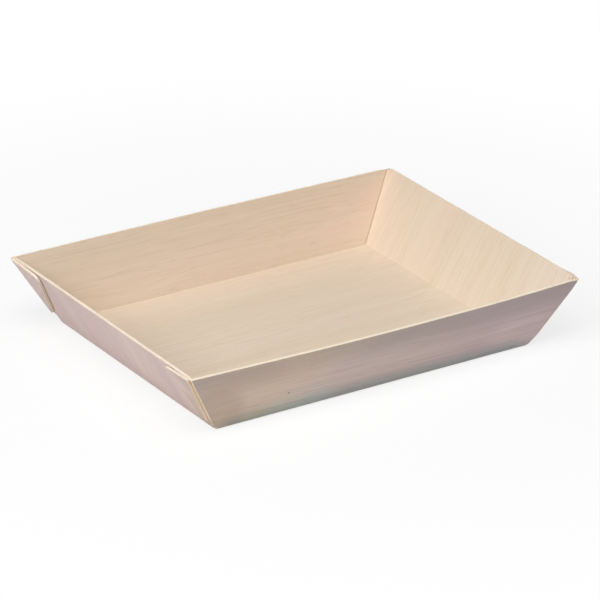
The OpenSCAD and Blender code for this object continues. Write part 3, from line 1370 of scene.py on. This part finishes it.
@dataclass
class CornerFlap(Panel):
    """A corner flap, folded round from a long wall and glued outside an end wall."""

    corner: Corner = Corner.BACK_RIGHT
    lift: float = 0.0
    foot_lift_share: float = 0.3
    lip: float = 0.4

    def on_flap(self, away: float, y: float) -> Vector:
        """Point by its distance from the corner fold and its height up the slope."""
        return Vector((self.sizes.end_fold(y) - away, y, 0))

    def outline(self) -> list[Vector]:
        """Lays out the corner fold, the free corner and the free tip.

        Returns:
            The corners, from the foot of the corner fold.
        """
        sizes = self.sizes
        return [
            self.on_flap(0, sizes.end_foot),
            self.on_flap(0, sizes.flap_slant),
            self.on_flap(sizes.flap_top, sizes.flap_corner_y),
            self.on_flap(sizes.flap_foot, sizes.flap_tip_y),
        ]

    def turns(self) -> list[float]:
        """The corner fold and three cut sides."""
        return [self.sizes.corner_turn, 0.0, 0.0, 0.0]

    def stand(self) -> Matrix:
        """Turns the flap up to its corner."""
        right, back = self.corner.value
        return end_frame(self.sizes, right < 0, back < 0)

    def unfold(self, x: float, y: float) -> Span:
        """Unfolds the flap round its corner fold, into the plane of its long wall.

        Args:
            x: Place along the end wall.
            y: Height up its slope.

        Returns:
            The place in the blank.
        """
        sizes = self.sizes
        from_foot = Vector((x, y)) - self.on_flap(0, sizes.end_foot).to_2d()
        up = Vector((sizes.end_fold_rate, 1)).normalized()
        run, away = from_foot.dot(up), from_foot.dot(Vector((-up.y, up.x)))
        wall_up = Vector((sizes.side_fold_rate, 1)).normalized()
        wall_foot = Vector((sizes.side_fold(sizes.side_foot), sizes.floor_w / 2 + sizes.side_foot))
        flat = wall_foot + wall_up * run + Vector((wall_up.y, -wall_up.x)) * away
        return self.corner.value[0] * flat.x, self.corner.value[1] * flat.y

    def rounds(self) -> dict[int, float]:
        """The free corner and the free tip are rounded."""
        return {2: self.sizes.flap_corner_r, 3: self.sizes.flap_tip_r}

    def lips(self, layer: Layer) -> dict[int, float]:
        """The outer veneer has a lip at the corner fold."""
        return {0: self.lip} if layer is Layer.VENEER else {}

    def back_step(self) -> float:
        """The flap lies behind the end wall and the glue."""
        return self.sizes.flap_depth

    def warp(self, x: float, y: float) -> float:
        """The free edge stands a little off the end wall, most at its upper corner.

        Args:
            x: Place along the end wall.
            y: Height up its slope.

        Returns:
            How far the flap bends outwards there.
        """
        away = max(0.0, self.sizes.end_fold(y) - x) / self.sizes.flap_top
        rise = max(0.0, y - self.sizes.end_foot) / (self.sizes.flap_slant - self.sizes.end_foot)
        return self.lift * away * away * (self.foot_lift_share + (1 - self.foot_lift_share) * rise)


@dataclass
class PaperCore:
    """The paper between the veneers: one sheet through every fold."""

    sizes: BlankSizes
    panels: list[Panel]
    finish: bpy.types.Material
    column: float = 2.0
    flat_angle: float = math.radians(0.5)
    node: str = "hinge_core"

    def build(self) -> bpy.types.Object:
        """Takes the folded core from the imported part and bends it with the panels.

        Returns:
            The finished piece.
        """
        bm = bmesh.new()
        bm.from_mesh(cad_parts[self.node].data)
        bmesh.ops.scale(bm, vec=(1 / MILLIMETRE,) * 3, verts=bm.verts[:])
        bmesh.ops.remove_doubles(bm, verts=bm.verts[:], dist=SAME_PLACE)
        bmesh.ops.dissolve_limit(bm, angle_limit=self.flat_angle, verts=bm.verts[:], edges=bm.edges[:])
        far = self.sizes.on_corner_fold(self.sizes.tray_h)
        cut_across(bm, Vector((1, 0, 0)), -far.x, far.x, self.column)
        cut_across(bm, Vector((0, 1, 0)), -far.y, far.y, self.column)
        cut_across(bm, Vector((0, 0, 1)), self.sizes.sheet, self.sizes.tray_h, self.column)
        for vert in bm.verts:
            vert.co = self._bent(vert.co)
        for face in bm.faces:
            face.material_index = 0
        return finish_piece(bm, "paper_core", (self.finish,), self.node)

    def _bent(self, point: Vector) -> Vector:
        """Moves a point of the core as the panel that holds it is warped.

        Args:
            point: The point in the tray.

        Returns:
            The moved point.
        """
        middle, slack = self.sizes.sheet / 2, self.sizes.veneer / 2
        for panel in self.panels:
            stand = panel.stand()
            flat = stand.inverted() @ point
            held = abs(flat.z - panel.back_step() - middle) < slack
            if held and panel.reaches(flat):
                return stand @ (flat + Vector((0, 0, panel.warp(flat.x, flat.y))))
        return point


@dataclass
class GlueFilm:
    """The film of glue between a flap and its end wall."""

    flap: CornerFlap
    finish: bpy.types.Material
    node: str
    foot_margins: float = 3.0
    run_out: float = 0.7
    run_length: float = 3.5
    step: float = 1.2
    edge: float = 0.03

    def outline(self) -> list[Vector]:
        """Lays out the film, with a bare margin inside the flap's edges.

        Returns:
            The corners, starting where the flap is as wide as the foot's margins.
        """
        sizes = self.flap.sizes
        margin, tip_y, corner_y = sizes.glue_margin, sizes.flap_tip_y, sizes.flap_corner_y

        def width(y: float) -> float:
            """Width of the flap at a height up the slope."""
            share = (y - tip_y) / (corner_y - tip_y)
            return sizes.flap_foot + share * (sizes.flap_top - sizes.flap_foot)

        foot_share = (self.foot_margins * margin - sizes.flap_foot) / (sizes.flap_top - sizes.flap_foot)
        foot = tip_y + foot_share * (corner_y - tip_y)
        top = min(corner_y, sizes.end_slant) - margin
        return [
            self.flap.on_flap(margin, foot),
            self.flap.on_flap(margin, top),
            self.flap.on_flap(width(top) - margin, top),
            self.flap.on_flap(width(foot) - margin, foot),
        ]

    def build(self) -> bpy.types.Object:
        """Spreads the film, with a wavy edge where it was pressed out.

        Returns:
            The finished piece.
        """
        sizes, outline = self.flap.sizes, self.outline()
        sheet = Sheet(
            outline, [0.0] * len(outline), sizes.sheet, sizes.flap_depth,
            open_depth=sizes.flap_depth, rounds={2: sizes.flap_corner_r},
            column=self.step, row=self.step, soft=self.edge, crease=self.edge,
            nick=self.run_out, nick_length=self.run_length, seed=self.flap.seed,
        )
        bm = sheet.build()
        bmesh.ops.transform(bm, matrix=self.flap.stand(), verts=bm.verts[:])
        for face in bm.faces:
            face.material_index = 0
        return finish_piece(bm, f"{self.node}_film", (self.finish,), self.node)


def looking_from(azimuth: float, elevation: float) -> Vector:
    """Direction from the tray towards a viewpoint.

    Args:
        azimuth: Angle round the tray in degrees, nothing at the front.
        elevation: Angle above the table in degrees.

    Returns:
        The unit vector.
    """
    round_tray, above = math.radians(azimuth), math.radians(elevation)
    level = math.cos(above)
    return Vector((math.sin(round_tray) * level, -math.cos(round_tray) * level, math.sin(above)))


@dataclass(frozen=True)
class Viewpoint:
    """The photograph's camera, found from the tray's rim, folds and base."""

    azimuth: float = -33.643
    elevation: float = 24.339
    roll: float = 0.924
    focal_px: float = 4503.0
    picture_px: float = 600.0
    distance: float = 1862.7
    aside: float = 2.342
    above: float = 14.088
    sensor: float = 36.0

    def place(self) -> None:
        """Adds the camera, and makes it the scene's."""
        data = bpy.data.cameras.new("photo_camera")
        data.sensor_width = self.sensor
        data.lens = self.focal_px * self.sensor / self.picture_px
        back = looking_from(self.azimuth, self.elevation)
        level = Vector((0, 0, 1)).cross(back).normalized()
        upward = back.cross(level)
        roll = math.radians(self.roll)
        right = level * math.cos(roll) + upward * math.sin(roll)
        up = upward * math.cos(roll) - level * math.sin(roll)
        spot = (right * self.aside + up * self.above + back * self.distance) * MILLIMETRE
        camera = add_object("photo_camera", data)
        camera.matrix_world = Matrix.Translation(spot) @ Matrix((right, up, back)).transposed().to_4x4()
        bpy.context.scene.camera = camera


@dataclass(frozen=True)
class SoftBox:
    """A large soft lamp that looks at the tray."""

    name: str
    azimuth: float
    elevation: float
    power: float
    distance: float = 1600.0
    size: float = 900.0

    def place(self) -> None:
        """Adds the lamp."""
        data = bpy.data.lights.new(self.name, "AREA")
        data.shape = "DISK"
        data.size = self.size * MILLIMETRE
        data.energy = self.power
        back = looking_from(self.azimuth, self.elevation)
        turn = (-back).to_track_quat("-Z", "Y").to_matrix().to_4x4()
        lamp = add_object(self.name, data)
        lamp.matrix_world = Matrix.Translation(back * self.distance * MILLIMETRE) @ turn


@dataclass(frozen=True)
class Studio:
    """White table, white surround and soft lamps."""

    lamps: tuple[SoftBox, ...]
    surround: float = 0.02
    table_half: float = 2500.0
    table_drop: float = 0.05
    table_tone: Tone = srgb(246, 246, 246)
    table_glow: float = 0.8
    glow_span: Span = (110.0, 320.0)

    def build(self) -> None:
        """Adds the lamps, the surround and the table."""
        bpy.context.scene.view_settings.view_transform = "Standard"
        for lamp in self.lamps:
            lamp.place()
        self._surround()
        self._table()

    @staticmethod
    def _seen(bench: ShaderBench) -> Wire:
        """Tells the rays that show the background, straight or in a reflection.

        Args:
            bench: The bench to add the nodes to.

        Returns:
            1 for those rays and 0 for others.
        """
        camera = bench.node("ShaderNodeLightPath", {}, {}, "Is Camera Ray")
        mirrored = camera.sibling("Is Glossy Ray").larger(camera.sibling("Is Transmission Ray"))
        return camera.larger(mirrored)

    def _surround(self) -> None:
        """White all round, at a plain level of light."""
        world = bpy.data.worlds.new("white_surround")
        world.use_nodes = True
        bench = ShaderBench(world.node_tree)
        strength = self.surround + self._seen(bench) * (1 - self.surround)
        shader = bench.node("ShaderNodeBackground", {}, {"Color": WHITE, "Strength": strength})
        bench.node("ShaderNodeOutputWorld", {}, {"Surface": shader}, None)
        bpy.context.scene.world = world

    def _table(self) -> None:
        """A pale table that keeps the tray's shadow, and is white further out."""
        material, bench = new_material("white_table")
        matt = bench.node("ShaderNodeBsdfDiffuse", {}, {"Color": self.table_tone})
        glow = bench.node("ShaderNodeEmission", {}, {"Color": WHITE, "Strength": 1.0})
        far = bench.ramp(bench.distance(bench.tray_place(), (0.0, 0.0, 0.0)), *self.glow_span)
        share = self._seen(bench) * (self.table_glow + far * (1 - self.table_glow))
        shader = bench.node("ShaderNodeMixShader", {}, {0: share, 1: matt, 2: glow})
        bench.node("ShaderNodeOutputMaterial", {}, {"Surface": shader}, None)
        bm = bmesh.new()
        bmesh.ops.create_grid(bm, x_segments=1, y_segments=1, size=self.table_half * MILLIMETRE)
        bmesh.ops.translate(bm, vec=(0, 0, -self.table_drop * MILLIMETRE), verts=bm.verts[:])
        table = add_mesh(bm, "table", (material,))


INSIDE = VeneerFinish(
    "inner_veneer_face",
    pale=srgb(225, 209, 189), deep=srgb(219, 201, 179), blush=srgb(224, 203, 184), pore=srgb(202, 179, 154),
    shift=(410.0, 37.0, 5.0),
    cloud=Speckle(130.0, 11.0), blush_strength=0.7, hair_strength=0.22,
    tint_marks=(
        Mark(100.0, -62.0, radius=34.0, tone=(1.04, 1.06, 1.1, 1.0), core_share=0.3),
        Mark(0.0, 78.0, radius=24.0, tone=(1.06, 1.03, 1.03, 1.0), core_share=0.6, stretch=16.0),
    ),
    marks=(
        Mark(107.9, -65.2, radius=0.6, tone=srgb(176, 132, 100), strength=0.6),
        Mark(108.7, -67.3, radius=0.7, tone=srgb(158, 118, 98), strength=0.7),
    ),
    # Painted shade in the creases along the joints inside the corners
    painted_corner_shade=(0.8, 0.73, 0.65, 1.0),
)
# The outer veneer's tones are a little darker, greyer and cooler than the inner veneer's: partly the wood's
# own tone and partly painted shade of the outer faces
OUTSIDE = VeneerFinish(
    "outer_veneer_face",
    pale=srgb(218, 199, 192), deep=srgb(206, 186, 178), blush=srgb(210, 188, 186), pore=srgb(182, 160, 150),
    shift=(-160.0, 260.0, 11.0),
    tint_marks=(
        Mark(-62.0, -74.0, radius=46.0, tone=(1.08, 1.055, 0.92, 1.0), core_share=0.3),
        Mark(76.0, -74.0, radius=66.0, tone=(0.97, 0.96, 1.03, 1.0), core_share=0.3),
        # Painted shade: the front wall darker along its upper part, towards the rim, over its whole length
        Mark(0.0, -90.0, radius=20.0, tone=(0.77, 0.8, 0.81, 1.0), core_share=0.1, stretch=16.0),
        Mark(-30.0, -86.0, radius=13.0, tone=(1.14, 1.13, 1.05, 1.0), core_share=0.3, stretch=2.5),
        Mark(-80.0, -66.0, radius=19.0, tone=(0.84, 0.83, 0.8, 1.0), core_share=0.53),
        Mark(-38.0, -64.0, radius=9.0, tone=(1.0, 1.09, 1.13, 1.0), core_share=0.4, stretch=2.6),
        Mark(70.0, -67.0, radius=16.0, tone=(1.08, 1.09, 1.09, 1.0), core_share=0.4, stretch=1.4),
    ),
    marks=(Mark(-44.3, -68.6, radius=0.55, tone=srgb(84, 62, 48), strength=0.8),),
    # Painted shade, darker and cooler along the foot of the walls near the floor folds
    painted_foot_shade=(0.66, 0.825, 0.87, 1.0),
)
CUT_EDGE = VeneerFinish(
    "cut_veneer_edge",
    pale=srgb(245, 235, 213), deep=srgb(237, 223, 197), blush=srgb(240, 222, 200), pore=srgb(220, 199, 168),
    shift=(75.0, -130.0, 21.0),
    streak=Speckle(20.0, 1.2, detail=3.0, harshness=0.6),
    fibre=Speckle(6.0, 0.4),
    dash=Speckle(3.0, 0.5, detail=0.0),
)
END_GRAIN = replace(
    CUT_EDGE, name="end_grain",
    pale=srgb(232, 218, 200), deep=srgb(224, 207, 186), blush=srgb(227, 206, 189), pore=srgb(208, 184, 158),
)
PAPER = PaperFinish(
    "tan_paper",
    pale=srgb(228, 203, 174), deep=srgb(212, 184, 154), cut=srgb(240, 226, 208), rubbed=srgb(222, 160, 104),
)
GLUE = GlueFinish("dried_glue", clear=srgb(216, 190, 150), milky=srgb(232, 218, 190))
RIM_FIBRES = (
    Splinter(-32.7, length=0.9, lean=0.5, layer=Layer.VENEER),
    Splinter(-17.3, length=1.5, lean=-0.3),
    Splinter(-16.4, length=1.3, lean=0.25),
    Splinter(-15.2, length=1.6, lean=0.55),
    Splinter(28.9, length=1.0, lean=-0.9),
    Splinter(48.6, length=0.9, lean=0.8, layer=Layer.VENEER),
)
DENTS = (
    Dent(Corner.FRONT_RIGHT, push=(-1.6, 0.0, -0.8), reach=(7.0, 7.0, 7.0)),
    Dent(Corner.BACK_RIGHT, push=(-0.7, -1.0, -0.4), reach=(100.0, 14.0, 30.0)),
    Dent(Corner.BACK_RIGHT, push=(-0.3, -0.5, -0.3), reach=(7.0, 7.0, 7.0)),
)
# How far each long wall's rim bows outwards, and the fibres that stand up on it
BOWS = {Wall.FRONT: 1.9, Wall.BACK: 0.2}
FIBRES = {Wall.FRONT: RIM_FIBRES, Wall.BACK: ()}
# How far each flap's free corner stands off its end wall
LIFTS = {
    Corner.FRONT_LEFT: 0.05,
    Corner.FRONT_RIGHT: 0.1,
    Corner.BACK_LEFT: 0.08,
    Corner.BACK_RIGHT: 0.12,
}
# Steps between the noise seeds of one wall or flap and the next
WALL_SEED = 7.3
FLAP_SEED = 3.1
FLOOR_NODES = {Layer.LINER: "floor_liner", Layer.VENEER: "base_veneer"}
LAMPS = (
    SoftBox("key_lamp", azimuth=-45, elevation=62, power=12.8),
    SoftBox("side_lamp", azimuth=-75, elevation=38, power=13.2),
    SoftBox("front_lamp", azimuth=20, elevation=62, power=4.7),
)


def node_names(panel: str) -> dict[Layer, str]:
    """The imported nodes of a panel's two layers."""
    return {layer: f"{panel}_{layer.value}" for layer in Layer}


def save_sizes() -> None:
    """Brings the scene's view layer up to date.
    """
    bpy.context.view_layer.update()


def main() -> None:
    """Builds the tray's panels, its core and its glue, then the studio."""
    logging.basicConfig(level=logging.INFO, format="%(name)s: %(message)s")
    sizes = BlankSizes.from_frame()
    faces = {Layer.LINER: INSIDE.on_blank(sizes).make(), Layer.VENEER: OUTSIDE.on_blank(sizes).make()}
    rim, end_grain = CUT_EDGE.make(), END_GRAIN.make()
    along_grain = {layer: (face, rim) for layer, face in faces.items()}
    across_grain = {layer: (face, end_grain) for layer, face in faces.items()}
    floor = FloorPanel(sizes, "floor", FLOOR_NODES, along_grain)
    walls: list[Panel] = []
    for number, wall in enumerate(Wall, start=1):
        name, seed = f"{wall.name.lower()}_wall", number * WALL_SEED
        if wall in BOWS:
            bends = {"bow": BOWS[wall], "splinters": FIBRES[wall]}
            walls.append(LongWall(sizes, name, node_names(name), along_grain, seed, wall=wall, **bends))
        else:
            walls.append(EndWall(sizes, name, node_names(name), across_grain, seed, wall=wall))
    flaps: list[CornerFlap] = []
    for number, corner in enumerate(Corner, start=1):
        name, seed = f"{corner.name.lower()}_flap", number * FLAP_SEED
        bends = {"corner": corner, "lift": LIFTS[corner]}
        flaps.append(CornerFlap(sizes, name, node_names(name), across_grain, seed, **bends))
    for panel in [floor, *walls, *flaps]:
        for layer in Layer:
            panel.build(layer)
    PaperCore(sizes, [*walls, *flaps], PAPER.on_blank(sizes).make()).build()
    glue = GLUE.make()
    for flap in flaps:
        GlueFilm(flap, glue, f"{flap.corner.name.lower()}_glue").build()
    Studio(LAMPS).build()
    Viewpoint().place()
    save_sizes()


if __name__ == "__main__":
    main()
